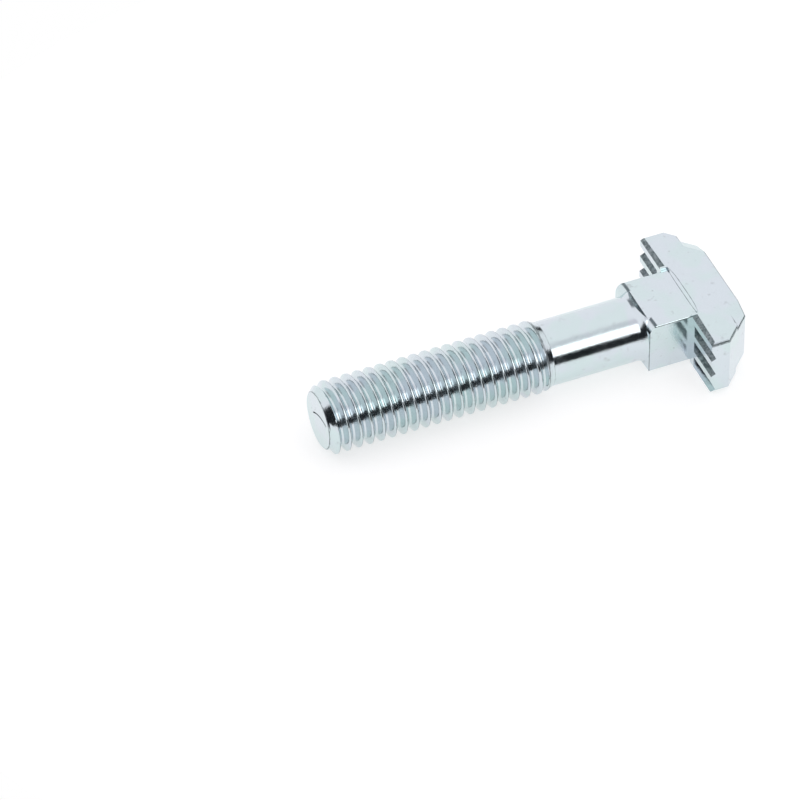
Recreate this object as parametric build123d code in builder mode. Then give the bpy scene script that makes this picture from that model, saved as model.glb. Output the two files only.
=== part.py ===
from build123d import *
from math import radians, tan
import os

os.makedirs("parts", exist_ok=True)

# A forged T-slot bolt, one piece of steel: a hammer head with a serrated
# clamping face, a flat-sided neck that keys it in the slot, a plain round
# shank, and a thicker end on which the thread is rolled.
#
# Millimetres. +X runs along the bolt from the clamping plane (X = 0) to the
# threaded tip, Y along the crossbar, Z across the flats of the head. The
# bolt lies on its flats.

# ---- driving dimensions ------------------------------------------------------

bolt_length = 40.3            # clamping plane to tip

# head: a crossbar with bevelled back corners
crossbar_length = 17.8        # Y
head_width = 6.7              # Z, narrow enough to drop through the slot
head_thickness = 5.4          # X
bevel_near = 3.35             # 45 degree bevel on the +Y back corner
bevel_far = 2.75              # the -Y one is smaller: the die sat off centre
head_edge = 0.3               # rounded forging edges

# relief beside the back part of each bevel, where the punch met the die
relief_start = 3.7            # its step, from the clamping plane
relief_width = 1.8            # across the flat
relief_depth = 0.65           # down the bevel

# saw teeth on the clamping face, running along the crossbar
tooth_count = 3
tooth_depth = 0.75
tooth_rise = 0.25             # height that the steep flank loses over its depth
tooth_gap = 0.9               # plain land between neck and grooves

# neck, which keys the bolt in the slot
neck_width = 7.6              # Y
neck_height = 6.1             # Z, across the flats
neck_length_near = 4.7        # its front is a little out of square
neck_length_far = 5.15
neck_edge_top = 0.85          # rounding of its upper front edge
neck_edge_bottom = 0.25

# the flats end in short slopes up to the round shank
flat_length = 4.3
flat_runout = 0.6

# shank, and the flare that blends it into the neck
shank_diameter = 6.95
flare_height = 0.32
flare_length = 0.45

# thread, drawn at its crests: M8, 1.25 mm pitch
thread_diameter = 7.8
thread_start = 15.2           # clamping plane to the end of the plain shank
start_slope = 22.0            # the first ridge rises at this angle
tip_diameter = 6.05           # end face inside the 45 degree chamfer

# shallow arched mark on the end face, left where the wire was sheared
mark_start = (-1.3, 0.1)      # Y, Z
mark_middle = (0.5, 1.0)
mark_end = (2.2, 1.05)
mark_width = 0.3
mark_depth = 0.12

# ---- derived -----------------------------------------------------------------

half_bar = crossbar_length / 2
half_width = head_width / 2
half_neck = neck_width / 2
flat_height = neck_height / 2
shank_radius = shank_diameter / 2
thread_radius = thread_diameter / 2
tip_radius = tip_diameter / 2
tip_chamfer = thread_radius - tip_radius
start_length = (thread_radius - shank_radius) / tan(radians(start_slope))
first_crest = half_width - tooth_rise
tooth_pitch = first_crest * 2 / tooth_count + tooth_rise / tooth_count
runout_slope = (shank_radius - flat_height) / flat_runout
relief_slope = relief_depth / relief_width
clear = 1.0                   # how far cutting profiles reach past the metal

with BuildPart() as t_slot_bolt:
    # Head: the crossbar, its back corners bevelled, its edges rounded except
    # round the clamping face.
    with BuildSketch():
        Rectangle(head_thickness, crossbar_length, align=(Align.MAX, Align.CENTER))
        chamfer(vertices().group_by(Axis.X)[0].sort_by(Axis.Y)[-1], length=bevel_near)
        chamfer(vertices().group_by(Axis.Y)[0].sort_by(Axis.X)[0], length=bevel_far)
    extrude(amount=half_width, both=True)
    clamping_rim = faces().sort_by(Axis.X)[-1].edges()
    fillet([edge for edge in edges() if edge not in clamping_rim], radius=head_edge)

    # Reliefs: a wedge off each flat, following the bevel behind the step.
    for side, bevel in ((1, bevel_near), (-1, bevel_far)):
        bevel_y = half_bar - (relief_start - (head_thickness - bevel))
        for flat in (1, -1):
            outer_z = half_width - relief_depth - clear * relief_slope
            with BuildSketch(Plane.YZ.offset(-relief_start)):
                with BuildLine():
                    Polyline(
                        (side * (bevel_y - relief_width), flat * half_width),
                        (side * (bevel_y + clear), flat * outer_z),
                        (side * (bevel_y + clear), flat * (half_width + clear)),
                        (side * (bevel_y - relief_width), flat * (half_width + clear)),
                        close=True,
                    )
                make_face()
            extrude(amount=2 * head_thickness, dir=(-1, -side, 0), mode=Mode.SUBTRACT)

    # Saw teeth on both wings. The first steep flank starts at the neck, the
    # grooves behind each crest a little further out.
    for side in (1, -1):
        with BuildSketch(Plane.XZ.offset(-side * half_neck)):
            with BuildLine():
                Polyline(
                    (-tooth_depth, half_width),
                    (0, first_crest),
                    (clear, first_crest),
                    (clear, half_width + clear),
                    (-tooth_depth, half_width + clear),
                    close=True,
                )
            make_face()
        extrude(amount=-side * half_bar, mode=Mode.SUBTRACT)
        with BuildSketch(Plane.XZ.offset(-side * (half_neck + tooth_gap))):
            for number in range(tooth_count):
                upper = first_crest - number * tooth_pitch
                lower = upper - tooth_pitch
                with BuildLine():
                    Polyline((0, upper), (-tooth_depth, lower + tooth_rise), (0, lower), close=True)
                make_face()
        extrude(amount=-side * half_bar, mode=Mode.SUBTRACT)

    # Neck: the step down from the head's flats, then the flat-sided block.
    for flat in (1, -1):
        with BuildSketch(Plane.XY.offset(flat * flat_height)):
            Rectangle(tooth_depth, neck_width, align=(Align.MAX, Align.CENTER))
        extrude(amount=flat * clear, mode=Mode.SUBTRACT)
    with BuildSketch():
        with BuildLine():
            Polyline(
                (-tooth_depth, -half_neck),
                (neck_length_far, -half_neck),
                (neck_length_near, half_neck),
                (-tooth_depth, half_neck),
                close=True,
            )
        make_face()
    extrude(amount=flat_height, both=True)
    fillet(faces().sort_by(Axis.X)[-1].edges().sort_by(Axis.Z)[-1], radius=neck_edge_top)
    fillet(faces().sort_by(Axis.X)[-1].edges().sort_by(Axis.Z)[0], radius=neck_edge_bottom)

    # Shank with its flare, the threaded end and the chamfered tip, turned in
    # one piece from inside the neck.
    with BuildSketch(Plane.XZ):
        with BuildLine():
            neck_front = (neck_length_near + neck_length_far) / 2
            shank_foot = (neck_front + flare_length, shank_radius)
            flare_top = (neck_front, shank_radius + flare_height)
            Polyline(
                shank_foot,
                (thread_start, shank_radius),
                (thread_start + start_length, thread_radius),
                (bolt_length - tip_chamfer, thread_radius),
                (bolt_length, tip_radius),
                (bolt_length, 0),
                (flat_length, 0),
                (flat_length, flare_top[1]),
                flare_top,
            )
            Bezier(flare_top, (neck_front, shank_radius), shank_foot)
        make_face()
    revolve(axis=Axis.X)

    # The flats run out on the shank in short slopes.
    for flat in (1, -1):
        with BuildSketch(Plane.XZ):
            with BuildLine():
                Polyline(
                    (flat_length, flat * flat_height),
                    (flat_length + 2 * flat_runout, flat * (flat_height + 2 * flat_runout * runout_slope)),
                    (flat_length + 2 * flat_runout, flat * (thread_radius + clear)),
                    (flat_length - flat_runout, flat * (thread_radius + clear)),
                    (flat_length - flat_runout, flat * flat_height),
                    close=True,
                )
            make_face()
        extrude(amount=half_neck + clear, both=True, mode=Mode.SUBTRACT)

    # The mark on the end face.
    with BuildSketch(Plane.YZ.offset(bolt_length)):
        with BuildLine() as mark:
            ThreePointArc(mark_start, mark_middle, mark_end)
        SlotArc(mark.wire(), mark_width)
    extrude(amount=-mark_depth, mode=Mode.SUBTRACT)

t_slot_bolt.part.label = "t_slot_bolt"
export_step(t_slot_bolt.part, "parts/t_slot_bolt.step")
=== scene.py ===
import math

import bmesh
import bpy
from bpy.props import FloatProperty, FloatVectorProperty, IntProperty, PointerProperty
from mathutils import Matrix, Vector, noise


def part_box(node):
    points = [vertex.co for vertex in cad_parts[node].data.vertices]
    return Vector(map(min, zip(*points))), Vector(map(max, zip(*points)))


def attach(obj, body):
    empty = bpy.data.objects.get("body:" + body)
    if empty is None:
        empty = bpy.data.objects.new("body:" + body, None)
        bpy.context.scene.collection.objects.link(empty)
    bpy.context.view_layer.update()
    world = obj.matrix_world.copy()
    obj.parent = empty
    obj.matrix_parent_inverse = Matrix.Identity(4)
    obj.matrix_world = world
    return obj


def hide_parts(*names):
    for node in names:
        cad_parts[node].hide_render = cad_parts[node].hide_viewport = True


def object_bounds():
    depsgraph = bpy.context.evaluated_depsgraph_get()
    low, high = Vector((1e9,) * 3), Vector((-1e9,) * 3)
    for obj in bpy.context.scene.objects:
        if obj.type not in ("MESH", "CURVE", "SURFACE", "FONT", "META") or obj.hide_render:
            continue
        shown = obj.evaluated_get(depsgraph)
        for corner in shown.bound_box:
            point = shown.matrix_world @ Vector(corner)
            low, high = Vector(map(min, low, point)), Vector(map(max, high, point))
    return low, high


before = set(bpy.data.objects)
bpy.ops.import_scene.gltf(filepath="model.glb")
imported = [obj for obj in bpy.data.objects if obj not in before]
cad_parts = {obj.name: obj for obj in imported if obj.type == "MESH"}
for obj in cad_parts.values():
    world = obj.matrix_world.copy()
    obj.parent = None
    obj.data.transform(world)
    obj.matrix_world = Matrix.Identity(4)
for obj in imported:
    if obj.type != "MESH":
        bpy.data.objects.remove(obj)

bl_info = {
    "name": "T-Slot Bolt",
    "version": (1, 0, 0),
    "blender": (4, 5, 0),
    "location": "3D View > Sidebar > T-Slot Bolt",
    "description": "Makes a zinc-plated hammer-head T-slot bolt and a small studio for it",
    "category": "Add Mesh",
}

NODE = "t_slot_bolt"
MM = 0.001                       # the shapes are drawn in millimetres
CAD_LOW, CAD_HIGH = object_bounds()
NODE_LOW, NODE_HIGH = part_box(NODE)
PAST = 1.0                       # how far a cutting form reaches past the metal, in millimetres

# How dark each place is painted with the painted shade colour, in place of shade and dark reflections.
# Nought is clean, and one has the full colour.
# Painted shade on the teeth's shelves, in place of their dark reflections.
SHELF_PAINTED_SHADE = 0.95
# Painted dark reflection line on the lower half of the head's near rounded edges.
NEAR_EDGE_PAINTED_REFLECTION = 0.70
# Painted reflection of the shadowed floor on the neck's near front edge.
NECK_EDGE_PAINTED_REFLECTION = 0.85
# Painted shade in the creases at the foot and the top of the step between the flats.
STEP_LINE_PAINTED_SHADE = 0.75
# Painted shade in the crease at the foot of the thread's first ridge.
THREAD_START_PAINTED_SHADE = 0.50
# Painted shade on the sides of the crests that face the head.
CREST_PAINTED_SHADE = 0.70
# A faint even darkening over the rest of the thread.
THREAD_EVEN_DARKENING = 0.03
# Painted dark reflection line round the rim of the tip face.
TIP_RIM_PAINTED_REFLECTION = 0.80
# Painted shade on the walls of the mark on the end face.
MARK_PAINTED_SHADE = 1.00


# ---- settings ------------------------------------------------------------------

def length(name, description, default, **extra):
    """A size in metres, shown in the scene's own length unit."""
    return FloatProperty(name=name, description=description, default=default, unit="LENGTH",
                         precision=5, **extra)


def colour(name, description, default):
    """A linear colour without alpha."""
    return FloatVectorProperty(name=name, description=description, default=default,
                               subtype="COLOR", size=3, min=0.0, max=1.0)


class HeadSettings(bpy.types.PropertyGroup):
    """Sizes of the forged head and neck."""

    crossbar: length("Crossbar", "Length of the crossbar", NODE_HIGH.y - NODE_LOW.y)
    width: length("Width", "Across the flats of the head", 6.7 * MM)
    thickness: length("Thickness", "Back of the head to the clamping plane", -NODE_LOW.x)
    bevel_near: length("Near bevel", "45 degree bevel on the +Y back corner", 3.35 * MM)
    bevel_far: length("Far bevel", "45 degree bevel on the -Y back corner", 2.75 * MM)
    edge: length("Edge rounding", "Widest rounding of the forged edges", 0.42 * MM)
    edge_back: FloatProperty(name="Back edges", description="Their share of the widest rounding",
                             default=0.5, min=0.0, max=1.0, subtype="FACTOR")
    edge_slight: FloatProperty(name="Slight edges", description="Their share of the widest rounding",
                               default=0.28, min=0.0, max=1.0, subtype="FACTOR")
    relief_start: length("Relief start", "Clamping plane to the step of the corner reliefs", 3.7 * MM)
    relief_width: length("Relief width", "Reach of a relief across the flat", 1.8 * MM)
    relief_depth: length("Relief depth", "Depth of a relief where it meets the bevel", 0.65 * MM)
    teeth: IntProperty(name="Teeth", description="Grooves on each wing", default=3, min=1)
    tooth_depth: length("Tooth depth", "Depth of the grooves beside the neck", 0.75 * MM)
    tooth_end: length("Tooth end depth", "Depth of the grooves at the ends of the crossbar", 0.52 * MM)
    tooth_rise: length("Tooth rise", "Height that a shelf loses over its depth", 0.25 * MM)
    tooth_land: length("Tooth land", "Flat crest of a tooth in the clamping plane", 0.75 * MM)
    tooth_gap: length("Tooth gap", "Plain land between the neck and the grooves", 0.9 * MM)
    tooth_waver: length("Tooth waver", "How far the faces of the teeth wander", 0.035 * MM)
    shelf_depth: length("Top shelf depth", "Depth of the uppermost shelf beside the neck", 0.5625 * MM)
    shelf_end: length("Top shelf end depth", "Depth of the uppermost shelf at its end", 0.442 * MM)
    shelf_gap: length("Top shelf gap", "Plain land between the neck and that shelf", 0.25 * MM)
    neck_width: length("Neck width", "Width of the neck in the slot", 7.6 * MM)
    neck_height: length("Neck height", "Across the flats of the neck", 6.1 * MM)
    neck_near: length("Neck length near", "Clamping plane to the neck's front, +Y side", 4.7 * MM)
    neck_far: length("Neck length far", "Clamping plane to the neck's front, -Y side", 5.15 * MM)
    neck_edge: length("Neck edge", "Rounding of the neck's upper front edge", 1.1 * MM)
    neck_side: length("Neck side edge", "Rounding of the neck's upper edges along the bolt", 0.26 * MM)
    neck_slight: length("Neck slight edge", "Rounding of the neck's other edges", 0.104 * MM)
    step_slope: length("Step slope", "Slope between the flats of head and neck, mid-way", 0.28 * MM)
    # Its bands at the foot and the top of the step also carry painted shade.
    step_line: length("Step line", "Width of the dull lines at the foot and the top of the step", 0.05 * MM)
    flat_length: length("Flat length", "Clamping plane to the end of the neck's flats", 4.3 * MM)
    flat_runout: length("Flat run-out", "Slope from a flat up to the shank", 0.6 * MM)


class ShankSettings(bpy.types.PropertyGroup):
    """Sizes of the shank and its rolled thread."""

    tip: length("Tip", "Clamping plane to the end of the bolt", NODE_HIGH.x)
    shank: length("Shank diameter", "Diameter of the plain shank", 6.95 * MM)
    flare_height: length("Flare height", "Rise of the flare where the neck's flats end", 0.62 * MM)
    flare_length: length("Flare length", "Reach of the flare along the shank", 1.2 * MM)
    crest: length("Thread diameter", "Diameter over the thread's crests", 7.72 * MM)
    pitch: length("Pitch", "Crest to crest", 1.25 * MM)
    depth: length("Thread depth", "Crest to root", 0.69 * MM)
    root: length("Root flat", "Width of the flat at the bottom of the groove", 0.27 * MM)
    flank: FloatProperty(name="Flank angle", description="Included angle of the groove",
                         default=math.radians(60), subtype="ANGLE")
    soften: length("Softening", "Rounding of crests and roots", 0.07 * MM)
    start: length("Thread start", "Clamping plane to the end of the plain shank", 15.2 * MM)
    start_slope: FloatProperty(name="Start slope", description="Rise of the first ridge",
                               default=math.radians(22), subtype="ANGLE")
    groove_start: length("Groove start", "Where the groove is first at full depth, on top", 16.692 * MM)
    tip_face: length("Tip face", "Diameter of the flat end face", 6.05 * MM)
    mark_width: length("Mark width", "Width of the arched mark on the end face", 0.17 * MM)
    mark_depth: length("Mark depth", "Depth of the arched mark on the end face", 0.12 * MM)


class FinishSettings(bpy.types.PropertyGroup):
    """Colours of the zinc plating, and of the shade painted on it."""

    zinc: colour("Zinc", "Main colour of the plating", (0.65, 0.735, 0.755))
    violet: colour("Violet cast", "Passivation film where it is thick", (0.67, 0.715, 0.79))
    green: colour("Green cast", "Passivation film where it is thin", (0.60, 0.74, 0.735))
    film: FloatProperty(name="Film", description="How much of the passivation's two casts shows",
                        default=0.40, min=0.0, max=1.0, subtype="FACTOR")
    dull: colour("Dull spots", "Colour of scuffs and pits", (0.34, 0.36, 0.38))
    scuffs: FloatProperty(name="Scuffs", description="Strength of the scuffs",
                          default=0.28, min=0.0, max=1.0, subtype="FACTOR")
    pits: FloatProperty(name="Pits", description="Strength of the pits",
                        default=0.45, min=0.0, max=1.0, subtype="FACTOR")
    # Colour of the painted shade and painted reflections on shelves, near edges, creases, the tip's rim and
    # the mark.
    painted_shade: colour("Painted_shade_colour", "Colour of thin plating on shelves, worn edges and the mark", (0.11, 0.15, 0.16))
    roughness: FloatProperty(name="Roughness", description="Roughness of clean plating",
                             default=0.12, min=0.0, max=1.0, subtype="FACTOR")
    grain: FloatProperty(name="Grain", description="Strength of the fine unevenness",
                         default=0.40, min=0.0, max=1.0, subtype="FACTOR")


class StudioSettings(bpy.types.PropertyGroup):
    """Camera, floor and light."""

    azimuth: FloatProperty(name="Azimuth", description="Camera angle round the bolt",
                           default=math.radians(157.195), subtype="ANGLE")
    elevation: FloatProperty(name="Elevation", description="Camera angle above the floor",
                             default=math.radians(43.388), subtype="ANGLE")
    roll: FloatProperty(name="Roll", description="Camera roll", default=math.radians(-0.35),
                        subtype="ANGLE")
    distance: length("Distance", "Camera to the plane through the aim point", 0.6657)
    aim: FloatVectorProperty(name="Aim", description="Point that the camera looks at", size=3,
                             default=(0.028765, -0.005718, -0.006382), subtype="TRANSLATION",
                             unit="LENGTH", precision=5)
    lens: FloatProperty(name="Lens", description="Focal length in millimetres on a 36 mm sensor",
                        default=287.4)
    floor_radius: length("Floor radius", "Radius of the round floor", 0.075)
    floor: colour("Floor", "Colour of the floor", (0.50, 0.50, 0.50))
    floor_glow: FloatProperty(name="Floor glow", description="Makes the floor white to camera and metal",
                              default=0.64, min=0.0)
    sky: colour("Sky", "Pale upper half of the studio", (0.995, 0.975, 1.0))
    dim: colour("Dim", "Greyer strip above the soft box", (0.76, 0.73, 0.78))
    gap: colour("Gap", "Dark room between the soft boxes", (0.012, 0.014, 0.016))
    shade: colour("Shade", "Half-dark room on the far side", (0.20, 0.215, 0.23))
    light: FloatProperty(name="Light", description="Strength of the studio's light", default=1.05,
                         min=0.0)
    lamp: FloatProperty(name="Soft box", description="Strength of the near soft box", default=1.9,
                        min=0.0)


# ---- mesh tools ------------------------------------------------------------------

def new_object(name, mesh):
    """Link a mesh to the scene as an object."""
    piece = bpy.data.objects.new(name, mesh)
    bpy.context.scene.collection.objects.link(piece)
    return piece


def loft(name, rings, split=True):
    """A closed form through rings of points, with flat ends. Uneven faces are split into triangles."""
    form = bmesh.new()
    loops = [[form.verts.new(point) for point in ring] for ring in rings]
    count = len(loops[0])
    form.faces.new(loops[0])
    form.faces.new(reversed(loops[-1]))
    for a, b in zip(loops, loops[1:]):
        for i in range(count):
            j = (i + 1) % count
            form.faces.new((a[i], b[i], b[j], a[j]))
    if split:
        bmesh.ops.triangulate(form, faces=form.faces)
    bmesh.ops.recalc_face_normals(form, faces=form.faces)
    mesh = bpy.data.meshes.new(name)
    form.to_mesh(mesh)
    form.free()
    return new_object(name, mesh)


def prism(name, outline, low, high, place):
    """A closed prism. The outline is drawn in two axes and `place(u, v, w)` puts it in space."""
    return loft(name, [[place(u, v, w) for u, v in outline] for w in (low, high)], split=False)


def combine(piece, tool, operation):
    """Add a tool to a piece or cut it away, and delete the tool."""
    step = piece.modifiers.new(operation, "BOOLEAN")
    step.operation = operation
    step.solver = "EXACT"
    step.object = tool
    apply_modifiers(piece)
    bpy.data.objects.remove(tool)


def apply_modifiers(piece):
    """Replace a piece's mesh by its finished form."""
    graph = bpy.context.evaluated_depsgraph_get()
    graph.update()
    finished = bpy.data.meshes.new_from_object(piece.evaluated_get(graph))
    piece.modifiers.clear()
    piece.data = finished


def soft_min(a, b, blend):
    """The smaller of two numbers, with a smooth change from one to the other."""
    h = max(blend - abs(a - b), 0.0) / blend
    return min(a, b) - h * h * blend / 4


# ---- head and neck ------------------------------------------------------------------

def crossbar_block(head):
    """The crossbar with its bevelled back corners, still sharp."""
    half = head.crossbar / MM / 2
    back = -head.thickness / MM
    near = head.bevel_near / MM
    far = head.bevel_far / MM
    plan = [(0, -half), (0, half), (back + near, half), (back, half - near), (back, far - half),
            (back + far, -half)]
    z = head.width / MM / 2
    return prism("crossbar", plan, -z, z, lambda x, y, w: (x, y, w))


def cut_reliefs(block, head):
    """Wedges off the flats, following each bevel behind its step."""
    half = head.crossbar / MM / 2
    thickness = head.thickness / MM
    start = head.relief_start / MM
    reach = head.relief_width / MM
    depth = head.relief_depth / MM
    z = head.width / MM / 2
    for side, bevel in ((1, head.bevel_near / MM), (-1, head.bevel_far / MM)):
        edge = half - (start - (thickness - bevel))
        for flat in (1, -1):
            outline = [(edge - reach, z), (edge + PAST, z - depth - PAST * depth / reach),
                       (edge + PAST, z + PAST), (edge - reach, z + PAST)]
            wedge = prism("relief", outline, 0, 2 * thickness,
                          lambda y, h, w: (-start - w, side * (y - w), flat * h))
            combine(block, wedge, "DIFFERENCE")


def round_rim(block, head):
    """Round the forged edges, except round the clamping face.

    The near flat in front of the relief's step gets the widest rounding, the upper edges behind it
    less, and all other edges a slight one.
    """
    sharp = math.radians(30)
    step = -head.relief_start / MM
    margin = 0.1
    upper = head.width / MM / 2 - 0.35
    relieved = head.width / MM / 2 - 1.35
    near_end = 5.0
    far_end = -3.5
    form = bmesh.new()
    form.from_mesh(block.data)
    weight = form.edges.layers.float.new("bevel_weight_edge")
    for edge in form.edges:
        if len(edge.link_faces) != 2 or not edge.is_convex or edge.calc_face_angle() < sharp:
            continue
        if all(abs(v.co.x) < 1e-4 for v in edge.verts):
            continue
        middle = (edge.verts[0].co + edge.verts[1].co) / 2
        if middle.z > upper and middle.y > near_end and middle.x > step + margin:
            edge[weight] = 1.0
        elif middle.z > relieved and middle.y > far_end and middle.x < step - margin:
            edge[weight] = head.edge_back
        else:
            edge[weight] = head.edge_slight
    form.to_mesh(block.data)
    form.free()
    rounding = block.modifiers.new("round", "BEVEL")
    rounding.limit_method = "WEIGHT"
    rounding.width = head.edge / MM
    rounding.segments = 6
    rounding.use_clamp_overlap = False
    apply_modifiers(block)


def tooth_cutter(name, inner, outer, start, end, side, waver):
    """A cutter along the crossbar. Its section goes from `inner` to `outer` and wanders a little."""
    stations = 14
    corner_step, station_step, side_step, level = 1.7, 0.73, 15, 3.1    # a walk through the noise
    rings = []
    for s in range(stations + 1):
        t = s / stations
        y = start + (end - start) * t
        ring = []
        for n, (a, b) in enumerate(zip(inner, outer)):
            place = Vector((n * corner_step, s * station_step + side_step * side, level))
            shift = waver * noise.noise(place) if s else 0.0
            ring.append((a[0] + (b[0] - a[0]) * t + shift, side * y, a[1] + (b[1] - a[1]) * t - shift))
        rings.append(ring)
    return loft(name, rings)


def cut_teeth(block, head):
    """Saw teeth on both wings: an uppermost shelf at the neck, then grooves a little further out."""
    z = head.width / MM / 2
    rise = head.tooth_rise / MM
    crest = z - rise
    pitch = (2 * z - rise) / head.teeth
    land = head.tooth_land / MM
    waver = head.tooth_waver / MM
    inner = head.neck_width / MM / 2
    outer = head.crossbar / MM / 2 + 0.01
    clear = 0.4                      # how far the cutters reach past the clamping plane

    def shelf(depth):
        """Section (x, z) of the uppermost shelf."""
        return [(-depth, z), (0.0, crest), (clear, crest - clear * rise / depth), (clear, z + PAST),
                (-depth, z + PAST)]

    def groove(depth, upper):
        """Section (x, z) of the groove under the crest at height `upper`."""
        lower = upper - pitch
        return [(clear, upper - land), (0.0, upper - land), (-depth, lower + rise),
                (clear, lower - clear * rise / depth)]

    for side in (1, -1):
        cutter = tooth_cutter("shelf", shelf(head.shelf_depth / MM), shelf(head.shelf_end / MM),
                              inner + head.shelf_gap / MM, outer, side, waver)
        combine(block, cutter, "DIFFERENCE")
        for n in range(head.teeth):
            upper = crest - n * pitch
            cutter = tooth_cutter("groove", groove(head.tooth_depth / MM, upper),
                                  groove(head.tooth_end / MM, upper),
                                  inner + head.tooth_gap / MM, outer, side, waver)
            combine(block, cutter, "DIFFERENCE")


def rounded(corners, segments=6):
    """An outline from corners (u, v, radius), each rounded by an arc."""
    outline = []
    count = len(corners)
    for i, (u, v, radius) in enumerate(corners):
        here = Vector((u, v))
        if not radius:
            outline.append(tuple(here))
            continue
        back = (Vector(corners[i - 1][:2]) - here).normalized()
        ahead = (Vector(corners[(i + 1) % count][:2]) - here).normalized()
        half = back.angle(ahead) / 2
        centre = here + (back + ahead).normalized() * radius / math.sin(half)
        start = (here + back * radius / math.tan(half) - centre).normalized()
        end = (here + ahead * radius / math.tan(half) - centre).normalized()
        for n in range(segments + 1):
            outline.append(tuple(centre + radius * start.slerp(end, n / segments)))
    return outline


def neck_block(head):
    """The flat-sided neck: rounded seen from all three sides, its front a little out of square."""
    y = head.neck_width / MM / 2
    z = head.neck_height / MM / 2
    near = head.neck_near / MM
    far = head.neck_far / MM
    middle = (near + far) / 2
    lean = (near - far) / (2 * y)
    side = head.neck_side / MM
    slight = head.neck_slight / MM
    back = -1.5                      # inside the head
    section = rounded([(-y, -z, slight), (y, -z, slight), (y, z, side), (-y, z, side)])
    plan = rounded([(back - PAST, -y - PAST, 0), (far - lean * PAST, -y - PAST, 0), (near, y, slight),
                    (back - PAST, y, 0)])
    profile = rounded([(back - PAST, -z, 0), (middle, -z, slight), (middle, z, head.neck_edge / MM),
                       (back - PAST, z, 0)], segments=10)
    block = prism("neck", section, back, far + PAST, lambda u, v, w: (w, u, v))
    above = prism("plan", plan, -z - PAST, z + PAST, lambda u, v, w: (u, v, w))
    combine(block, above, "INTERSECT")
    beside = prism("profile", profile, -y - PAST, y + PAST, lambda u, v, w: (u + lean * w, w, v))
    combine(block, beside, "INTERSECT")
    return block


def step_cutter(head, flat):
    """What the crossbar loses above a flat of the neck, which leaves a bowed, sloping step."""
    y = head.neck_width / MM / 2
    foot = head.neck_height / MM / 2
    top = head.width / MM / 2
    wall = -head.tooth_depth / MM
    slope = head.step_slope / MM
    line = head.step_line / MM
    front = 0.5                      # past the clamping plane
    steps = 12
    # Heights up the step, each with its lean as a share of the slope.
    levels = ((foot, 0.35), (foot + line, 0.15), (top - line, -0.8), (top, -1.0), (top + PAST, -1.0))
    across = [y - 2 * y * n / steps for n in range(steps + 1)]
    rings = []
    for level, lean in levels:
        ring = [(front, -y, flat * level), (front, y, flat * level)]
        ring += [(wall + lean * slope * (1 - (v / y) ** 4), v, flat * level) for v in across]
        rings.append(ring)
    return loft("step", rings)


# ---- shank and thread ------------------------------------------------------------------

def thread_radius(x, turn, shank):
    """Radius of the threaded end at `x`, `turn` turns round from the top towards +Y."""
    crest = shank.crest / MM / 2
    pitch = shank.pitch / MM
    depth = shank.depth / MM
    soften = shank.soften / MM
    offset = (x - shank.groove_start / MM) / pitch + turn
    groove = math.floor(offset + 0.5)
    across = abs(offset - groove) * pitch
    fade = max(0.0, turn - groove) * (depth + 0.05)      # the first turn of the groove fades in
    flank = (across - shank.root / MM / 2) / math.tan(shank.flank / 2)
    wall = crest - depth + fade - soft_min(-flank, 0.0, soften * 1.5)
    cone = shank.shank / MM / 2 + max(x - shank.start / MM, 0.0) * math.tan(shank.start_slope)
    chamfer = shank.tip_face / MM / 2 + shank.tip / MM - x
    return min(soft_min(crest, wall, soften), cone, chamfer, crest)


def plain_profile(head, shank):
    """Stations (x, radius) of the plain shank: from inside the neck, over the flare, to the thread."""
    plain = shank.shank / MM / 2
    start = shank.start / MM
    foot = head.flat_length / MM
    rise = shank.flare_height / MM
    run = shank.flare_length / MM
    end = foot + run
    inside = 1.5                     # how far the shank reaches back into the neck
    curved, straight = 12, 6         # steps along the flare and along the rest
    profile = [(foot - inside, plain), (foot - rise, plain + rise)]
    for n in range(curved + 1):
        t = n / curved
        profile.append((foot + run * t, plain + rise * (1 - t) ** 2))
    widest = head.neck_width / MM / 2 - 0.01
    profile = [(x, min(radius, widest)) for x, radius in profile]
    profile += [(end + (start - end) * n / straight, plain) for n in range(1, straight + 1)]
    return profile


def turned_shank(head, shank):
    """The shank and its threaded end as one closed mesh, laid out along the helix."""
    around = 96
    per_pitch = 24
    weld = 1e-4
    pitch = shank.pitch / MM
    start = shank.start / MM
    tip = shank.tip / MM
    form = bmesh.new()

    def point(x, turn, radius):
        """A corner of the mesh, `turn` turns round from the top towards +Y."""
        angle = 2 * math.pi * turn
        return form.verts.new((x, radius * math.sin(angle), radius * math.cos(angle)))

    rings = [[point(x, j / around, r) for j in range(around)] for x, r in plain_profile(head, shank)]
    form.faces.new(rings[0])
    for a, b in zip(rings, rings[1:]):
        for j in range(around):
            k = (j + 1) % around
            form.faces.new((a[j], a[k], b[k], b[j]))

    # Threaded part: columns that follow the helix, held back at both ends.
    columns = int((tip - start) / pitch * per_pitch) + 2 + per_pitch
    grid = []
    for c in range(columns):
        row = []
        for j in range(around):
            x = start + (c / per_pitch - j / around) * pitch
            x = min(max(x, start), tip)
            row.append(point(x, j / around, thread_radius(x, j / around, shank)))
        grid.append(row)
    for c in range(columns - 1):
        for j in range(around):
            corner = [grid[c][j], grid[c + 1][j]]
            if j + 1 < around:
                corner += [grid[c + 1][j + 1], grid[c][j + 1]]
            else:
                corner += [grid[max(c + 1 - per_pitch, 0)][0], grid[max(c - per_pitch, 0)][0]]
            form.faces.new(list(dict.fromkeys(corner)))
    bmesh.ops.remove_doubles(form, verts=form.verts, dist=weld)
    bmesh.ops.dissolve_degenerate(form, edges=form.edges, dist=weld)
    rim = [edge for edge in form.edges if edge.is_boundary]
    bmesh.ops.contextual_create(form, geom=rim)
    bmesh.ops.recalc_face_normals(form, faces=form.faces)
    mesh = bpy.data.meshes.new("shank")
    form.to_mesh(mesh)
    form.free()
    return new_object("shank", mesh)


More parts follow.
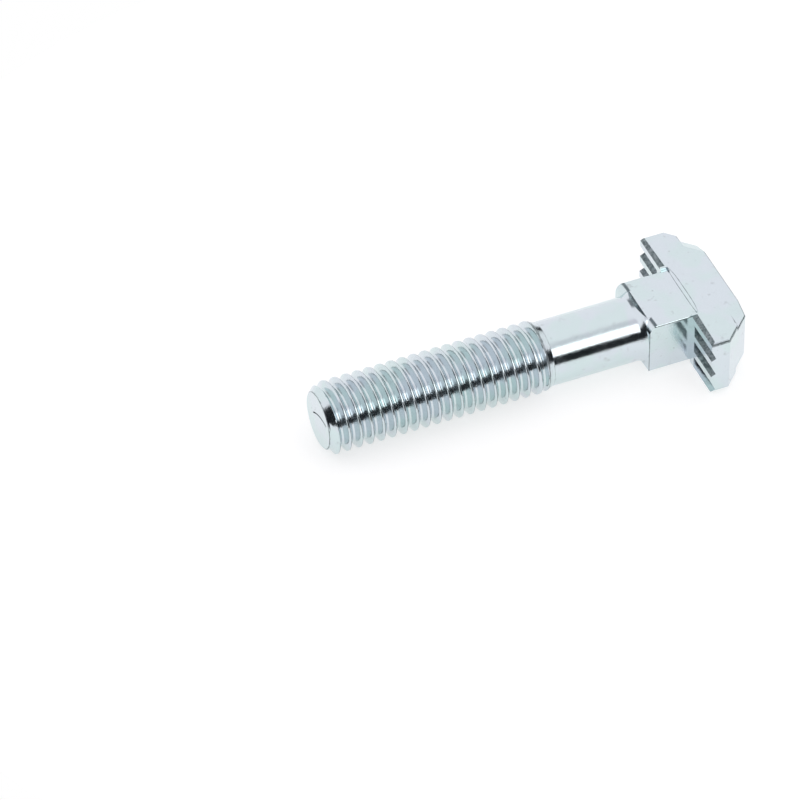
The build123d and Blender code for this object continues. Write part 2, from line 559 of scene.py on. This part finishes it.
def runout_cutter(head, shank, flat):
    """What the flats take off the shank: a slope up to its surface."""
    y = head.neck_width / MM / 2 + PAST
    low = head.neck_height / MM / 2
    start = head.flat_length / MM
    run = head.flat_runout / MM
    rise = shank.shank / MM / 2 - low
    back = start - 2.5
    above = 6.0
    outline = [(back, low), (start, low), (start + 2 * run, low + 2 * rise), (start + 2 * run, above),
               (back, above)]
    return prism("runout", outline, -y, y, lambda x, z, w: (x, w, flat * z))


def mark_cutter(shank):
    """A thin arched bar that leaves the mark on the end face."""
    centre_y, centre_z, radius = 1.52, -3.45, 4.5
    first, turn, count = 128, 3.9, 13        # degrees from +Y, degrees between points, points
    angles = [math.radians(first - turn * n) for n in range(count)]
    half = shank.mark_width / MM / 2
    tip = shank.tip / MM

    def arc(r):
        """Points (y, z) along the arc of radius `r`."""
        return [(centre_y + r * math.cos(a), centre_z + r * math.sin(a)) for a in angles]

    outline = arc(radius + half) + arc(radius - half)[::-1]
    return prism("mark", outline, tip - shank.mark_depth / MM, tip + PAST, lambda y, z, w: (w, y, z))


def paint_shade(piece, head, shank):
    """Mark each face by how dark it is painted, in place of the shade and dark reflections that fall there.
    """
    neck = head.neck_width / MM / 2
    front = head.neck_near / MM
    lowest = -head.width / MM / 2 + 0.5
    foot, top = head.neck_height / MM / 2, head.width / MM / 2
    line = head.step_line / MM
    start = shank.start / MM
    tip = shank.tip / MM
    plain = shank.shank / MM / 2 - 0.075
    crest = shank.crest / MM / 2 - 0.14
    face = shank.tip_face / MM / 2
    mark = shank.mark_depth / MM
    mark_foot = tip - mark - 0.01

    def on_step_line(height):
        """Whether a height is in the narrow band at the foot or the top of the step."""
        skin = 0.003
        return foot + skin < height < foot + line or top - line < height < top - skin

    def shade_level(at, normal):
        """How dark a face is painted, from its middle and its normal."""
        radius = math.hypot(at.y, at.z)
        # The shelves of the teeth, except the lowest: painted shade in place of their dark reflections.
        if at.x < 0.01 and abs(at.y) > neck and normal.z > 0.5 and normal.x > 0.05:
            return SHELF_PAINTED_SHADE if at.z > lowest else 0.0
        # Lower half of the head's near rounded edges: a painted dark reflection line.
        if at.x < 0.01 and 0.10 < normal.z < 0.62 and normal.y > 0.3:
            return NEAR_EDGE_PAINTED_REFLECTION
        # The neck's near front edge: painted reflection of the shadowed floor.
        if front - 0.15 < at.x < front and at.y > neck - 0.2 and normal.x > 0.2 and normal.y > 0.2:
            return NECK_EDGE_PAINTED_REFLECTION
        # Foot and top of the step between the flats: painted shade in the creases.
        if -1.4 < at.x < -0.3 and abs(at.y) < neck and on_step_line(abs(at.z)):
            return STEP_LINE_PAINTED_SHADE
        # Foot of the thread's first ridge: painted shade in the crease.
        if start - 0.01 < at.x < start + 0.05 and radius > plain:
            return THREAD_START_PAINTED_SHADE
        # Rim of the tip face: a painted dark reflection line.
        if tip - 0.07 < at.x < tip - 0.001 and radius > face - 0.075:
            return TIP_RIM_PAINTED_REFLECTION
        # Walls of the mark on the end face: painted shade inside the groove.
        if mark_foot < at.x < mark_foot + mark * 0.9 and abs(normal.x) < 0.5:
            return MARK_PAINTED_SHADE if radius < face - 0.225 else 0.0
        # Thread: painted shade on the crests' sides that face the head, and a faint even darkening on the
        # rest.
        if start + 0.3 < at.x < tip - 0.8:
            return CREST_PAINTED_SHADE if radius > crest and normal.x < -0.2 else THREAD_EVEN_DARKENING
        return 0.0

    values = [0.0] * len(piece.data.loops)
    for polygon in piece.data.polygons:
        level = shade_level(polygon.center, polygon.normal)
        for i in polygon.loop_indices:
            values[i] = level
    layer = piece.data.attributes.new("painted_shade", "FLOAT", "CORNER")
    layer.data.foreach_set("value", values)


def set_shading(piece, shank):
    """Smooth shading with crisp creases. The flats keep their own normals beside rounded edges."""
    thread_crease, other_crease = math.radians(30), math.radians(16)
    threaded = shank.start / MM + 1.0
    piece.data.shade_smooth()
    form = bmesh.new()
    form.from_mesh(piece.data)
    for edge in form.edges:
        if len(edge.link_faces) == 2:
            limit = thread_crease if edge.verts[0].co.x > threaded else other_crease
            edge.smooth = edge.calc_face_angle() < limit
    form.to_mesh(piece.data)
    form.free()
    weighting = piece.modifiers.new("weighting", "WEIGHTED_NORMAL")
    weighting.keep_sharp = True
    apply_modifiers(piece)


# ---- finish ------------------------------------------------------------------

class Nodes:
    """Short calls for building a node tree."""

    def __init__(self, tree):
        self.tree = tree

    def add(self, kind, **values):
        """Add a node. Keys are its properties, or its inputs' names with _ for a space."""
        made = self.tree.nodes.new(kind)
        for key, value in values.items():
            if hasattr(made, key):
                setattr(made, key, value)
            else:
                made.inputs[key.replace("_", " ")].default_value = value
        return made

    def link(self, source, target):
        """Join an output to an input."""
        self.tree.links.new(source, target)

    def math(self, operation, a, b=None, clamp=False):
        """A Math node on sockets or numbers."""
        made = self.add("ShaderNodeMath", operation=operation, use_clamp=clamp)
        for socket, value in zip(made.inputs, (a, b)):
            if value is None:
                continue
            if isinstance(value, (int, float)):
                socket.default_value = value
            else:
                self.link(value, socket)
        return made.outputs[0]

    def band(self, value, low, high, soft):
        """One between two limits and nought outside them, with soft ends."""
        rise = self.add("ShaderNodeMapRange", interpolation_type="SMOOTHSTEP")
        rise.inputs["From Min"].default_value = low - soft
        rise.inputs["From Max"].default_value = low + soft
        self.link(value, rise.inputs["Value"])
        fall = self.add("ShaderNodeMapRange", interpolation_type="SMOOTHSTEP")
        fall.inputs["From Min"].default_value = high + soft
        fall.inputs["From Max"].default_value = high - soft
        self.link(value, fall.inputs["Value"])
        return self.math("MULTIPLY", rise.outputs[0], fall.outputs[0])

    def mix(self, factor, a, b):
        """Mix two colours, each a socket or a value."""
        made = self.add("ShaderNodeMix", data_type="RGBA")
        for socket, value in ((made.inputs[0], factor), (made.inputs[6], a), (made.inputs[7], b)):
            if isinstance(value, bpy.types.NodeSocket):
                self.link(value, socket)
            elif isinstance(value, (int, float)):
                socket.default_value = value
            else:
                socket.default_value = (*value, 1.0)
        return made.outputs[2]


def zinc_plate(finish):
    """Bright zinc plating: clear mirror with a faint cast, fine grit, scuffs, pits and painted shade."""
    material = bpy.data.materials.new("zinc_plate")
    material.use_nodes = True
    nodes = Nodes(material.node_tree)
    shader = material.node_tree.nodes["Principled BSDF"]
    place = nodes.add("ShaderNodeTexCoord").outputs["Object"]

    def speckle(scale, detail, roughness):
        """Plain noise on the metal. The scale is in cells a metre."""
        made = nodes.add("ShaderNodeTexNoise", Scale=scale, Detail=detail, Roughness=roughness)
        nodes.link(place, made.inputs["Vector"])
        return made.outputs["Fac"]

    def cloud(scale, detail, roughness, low, high):
        """Noise that is nought below `low` and one above `high`."""
        shaped = nodes.add("ShaderNodeMapRange", interpolation_type="SMOOTHSTEP")
        shaped.inputs["From Min"].default_value = low
        shaped.inputs["From Max"].default_value = high
        nodes.link(speckle(scale, detail, roughness), shaped.inputs["Value"])
        return shaped.outputs[0]

    # Colour: the passivation's casts, then scuffs and pits, then painted shade and painted reflections in
    # broken patches.
    patches = cloud(scale=260, detail=2, roughness=0.5, low=0.42, high=0.58)
    cast = nodes.mix(patches, tuple(finish.violet), tuple(finish.green))
    film = nodes.mix(finish.film, tuple(finish.zinc), cast)
    scuff = cloud(scale=900, detail=6, roughness=0.62, low=0.60, high=0.72)
    pit = cloud(scale=1900, detail=2, roughness=0.5, low=0.71, high=0.78)
    dull = nodes.math("MAXIMUM", nodes.math("MULTIPLY", scuff, finish.scuffs),
                      nodes.math("MULTIPLY", pit, finish.pits))
    plated = nodes.mix(dull, film, tuple(finish.dull))
    broken = cloud(scale=2600, detail=3, roughness=0.6, low=0.35, high=0.65)
    broken = nodes.math("ADD", nodes.math("MULTIPLY", broken, 0.5), 0.5)
    painted_shade = nodes.add("ShaderNodeAttribute", attribute_name="painted_shade").outputs["Fac"]
    painted_shade = nodes.math("MULTIPLY", painted_shade, broken)
    nodes.link(nodes.mix(painted_shade, plated, tuple(finish.painted_shade)), shader.inputs["Base Color"])

    # Roughness: a little uneven, and more where the plating is dull. The painted shade is rougher and only
    # half metallic.
    uneven = cloud(scale=700, detail=4, roughness=0.6, low=0.35, high=0.75)
    rough = nodes.math("ADD", nodes.math("MULTIPLY", uneven, 0.10), finish.roughness)
    rough = nodes.math("ADD", rough, nodes.math("MULTIPLY", dull, 0.25))
    rough = nodes.math("ADD", rough, nodes.math("MULTIPLY", painted_shade, 0.35), clamp=True)
    nodes.link(rough, shader.inputs["Roughness"])
    metal = nodes.math("SUBTRACT", 1.0, nodes.math("MULTIPLY", painted_shade, 0.6))
    nodes.link(metal, shader.inputs["Metallic"])

    # Relief: fine grit on a slow wave, with the pits sunk in.
    height = nodes.math("MULTIPLY", speckle(scale=5200, detail=2, roughness=0.6), 0.40)
    height = nodes.math("ADD", height, speckle(scale=420, detail=2, roughness=0.5))
    height = nodes.math("SUBTRACT", height, nodes.math("MULTIPLY", pit, 0.6))
    bump = nodes.add("ShaderNodeBump", Strength=finish.grain, Distance=0.00004)
    nodes.link(height, bump.inputs["Height"])
    nodes.link(bump.outputs["Normal"], shader.inputs["Normal"])
    return material


# ---- studio ------------------------------------------------------------------

def studio_world(studio):
    """A pale room with a soft box and dark gaps. The camera sees plain white."""
    world = bpy.data.worlds.new("studio")
    bpy.context.scene.world = world
    world.use_nodes = True
    nodes = Nodes(world.node_tree)
    background = world.node_tree.nodes["Background"]
    direction = nodes.add("ShaderNodeTexCoord").outputs["Generated"]
    split = nodes.add("ShaderNodeSeparateXYZ")
    nodes.link(direction, split.inputs[0])
    axes = dict(zip("xyz", split.outputs))
    end = 2.0                        # past the end of a direction's axis

    def patch(room, paint, **bands):
        """Paint a colour where all bands are met. A band has a low, a high and a softness."""
        inside = None
        for axis, band in bands.items():
            here = nodes.band(axes[axis], *band)
            inside = nodes.math("MULTIPLY", inside, here) if inside else here
        return nodes.mix(inside, room, paint)

    gap, shade = tuple(studio.gap), tuple(studio.shade)
    beside = {"y": (0.15, end, 0.10), "x": (-0.50, -0.04, 0.05)}
    # The near soft box, and the dim strip above it.
    room = patch(tuple(studio.sky), (studio.lamp,) * 3, z=(0.42, 0.77, 0.02), **beside)
    room = patch(room, tuple(studio.dim), z=(0.77, 0.91, 0.02), **beside)
    # Dark room: low on the near side, higher up beyond the tip, and low behind the head.
    room = patch(room, gap, z=(-0.22, 0.40, 0.02), y=(0.12, end, 0.06))
    room = patch(room, gap, z=(-0.22, 0.60, 0.03), y=(-0.14, end, 0.04), x=(-0.02, end, 0.05))
    room = patch(room, gap, z=(-0.30, 0.36, 0.05), x=(-end, -0.62, 0.04))
    # Half-dark room on the far side.
    room = patch(room, shade, x=(-0.08, 0.38, 0.06), y=(-0.9, -0.35, 0.06), z=(0.35, 0.9, 0.05))

    seen = nodes.add("ShaderNodeLightPath").outputs["Is Camera Ray"]
    level = nodes.math("ADD", nodes.math("MULTIPLY", seen, 1.0 - studio.light), studio.light)
    nodes.link(nodes.mix(seen, room, (1.0, 1.0, 1.0)), background.inputs["Color"])
    nodes.link(level, background.inputs["Strength"])
    return world


def floor_disc(studio):
    """A round pale floor under the bolt, white to the camera and in reflections."""
    form = bmesh.new()
    bmesh.ops.create_circle(form, cap_ends=True, radius=studio.floor_radius, segments=96)
    mesh = bpy.data.meshes.new("floor")
    form.to_mesh(mesh)
    form.free()
    floor = new_object("floor", mesh)
    clearance = 0.02 * MM
    floor.location = ((CAD_LOW.x + CAD_HIGH.x) / 2, 0, CAD_LOW.z - clearance)

    material = bpy.data.materials.new("floor")
    material.use_nodes = True
    tree = material.node_tree
    nodes = Nodes(tree)
    shader = tree.nodes["Principled BSDF"]
    shader.inputs["Base Color"].default_value = (*studio.floor, 1.0)
    shader.inputs["Roughness"].default_value = 1.0
    shader.inputs["Specular IOR Level"].default_value = 0.0
    shader.inputs["Emission Color"].default_value = (1.0, 1.0, 1.0, 1.0)
    path = nodes.add("ShaderNodeLightPath")
    seen = nodes.math("MAXIMUM", path.outputs["Is Camera Ray"], path.outputs["Is Glossy Ray"])
    seen = nodes.math("MAXIMUM", seen, path.outputs["Is Transmission Ray"])
    nodes.link(nodes.math("MULTIPLY", seen, studio.floor_glow), shader.inputs["Emission Strength"])
    mesh.materials.append(material)
    return floor


def studio_camera(studio):
    """The camera, placed from its angles, distance and aim."""
    azimuth, elevation, roll = studio.azimuth, studio.elevation, studio.roll
    back = Vector((math.sin(azimuth) * math.cos(elevation), -math.cos(azimuth) * math.cos(elevation),
                   math.sin(elevation)))
    right = Vector((math.cos(azimuth), math.sin(azimuth), 0))
    up = back.cross(right)
    right, up = (math.cos(roll) * right + math.sin(roll) * up,
                 math.cos(roll) * up - math.sin(roll) * right)
    lens = bpy.data.cameras.new("camera")
    lens.sensor_width = 36
    lens.lens = studio.lens
    lens.clip_start = 0.01
    lens.clip_end = 10
    camera = bpy.data.objects.new("camera", lens)
    bpy.context.scene.collection.objects.link(camera)
    place = Matrix((right, up, back)).transposed().to_4x4()
    place.translation = Vector(studio.aim) + back * studio.distance
    camera.matrix_world = place
    bpy.context.scene.camera = camera


# ---- operators ------------------------------------------------------------------

class MakeBolt(bpy.types.Operator):
    """Forge the head and neck, turn the shank, roll the thread and plate the bolt"""

    bl_idname = "tslot.make_bolt"
    bl_label = "Make Bolt"

    def execute(self, context):
        scene = context.scene
        head, shank = scene.tslot_head, scene.tslot_shank
        bolt = crossbar_block(head)
        bolt.name = "forged_bolt"
        cut_reliefs(bolt, head)
        round_rim(bolt, head)
        cut_teeth(bolt, head)
        for flat in (1, -1):
            combine(bolt, step_cutter(head, flat), "DIFFERENCE")
        combine(bolt, neck_block(head), "UNION")
        turned = turned_shank(head, shank)
        for flat in (1, -1):
            combine(turned, runout_cutter(head, shank, flat), "DIFFERENCE")
        combine(turned, mark_cutter(shank), "DIFFERENCE")
        combine(bolt, turned, "UNION")
        paint_shade(bolt, head, shank)
        set_shading(bolt, shank)
        bolt.data.transform(Matrix.Scale(MM, 4))
        bolt.data.name = bolt.name
        bolt.data.materials.clear()
        bolt.data.materials.append(zinc_plate(scene.tslot_finish))
        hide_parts(NODE)
        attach(bolt, "root")
        return {"FINISHED"}


class SetStudio(bpy.types.Operator):
    """Set up the floor, the light and the camera"""

    bl_idname = "tslot.set_studio"
    bl_label = "Set Studio"

    def execute(self, context):
        studio = context.scene.tslot_studio
        studio_world(studio)
        floor_disc(studio)
        studio_camera(studio)
        context.scene.view_settings.view_transform = "Standard"
        return {"FINISHED"}


class BoltPanel(bpy.types.Panel):
    """Sizes, colours and steps of the T-slot bolt"""

    bl_idname = "VIEW3D_PT_tslot"
    bl_label = "T-Slot Bolt"
    bl_space_type = "VIEW_3D"
    bl_region_type = "UI"
    bl_category = "T-Slot Bolt"

    def draw(self, context):
        layout = self.layout
        scene = context.scene
        for title, group in (("Head", scene.tslot_head), ("Shank", scene.tslot_shank),
                             ("Finish", scene.tslot_finish), ("Studio", scene.tslot_studio)):
            box = layout.box()
            box.label(text=title)
            for name in group.bl_rna.properties.keys():
                if name not in {"rna_type", "name"}:
                    box.prop(group, name)
        layout.operator(MakeBolt.bl_idname)
        layout.operator(SetStudio.bl_idname)


SETTINGS = (
    ("tslot_head", HeadSettings),
    ("tslot_shank", ShankSettings),
    ("tslot_finish", FinishSettings),
    ("tslot_studio", StudioSettings),
)
CLASSES = (MakeBolt, SetStudio, BoltPanel)


def register():
    """Register the settings, the operators and the panel."""
    for name, settings in SETTINGS:
        bpy.utils.register_class(settings)
        setattr(bpy.types.Scene, name, PointerProperty(type=settings))
    for cls in CLASSES:
        bpy.utils.register_class(cls)


def unregister():
    """Take away what register() made."""
    for cls in reversed(CLASSES):
        bpy.utils.unregister_class(cls)
    for name, settings in reversed(SETTINGS):
        delattr(bpy.types.Scene, name)
        bpy.utils.unregister_class(settings)


def main():
    """Make the bolt and the studio."""
    register()
    bpy.ops.tslot.make_bolt()
    bpy.ops.tslot.set_studio()


if __name__ == "__main__":
    main()
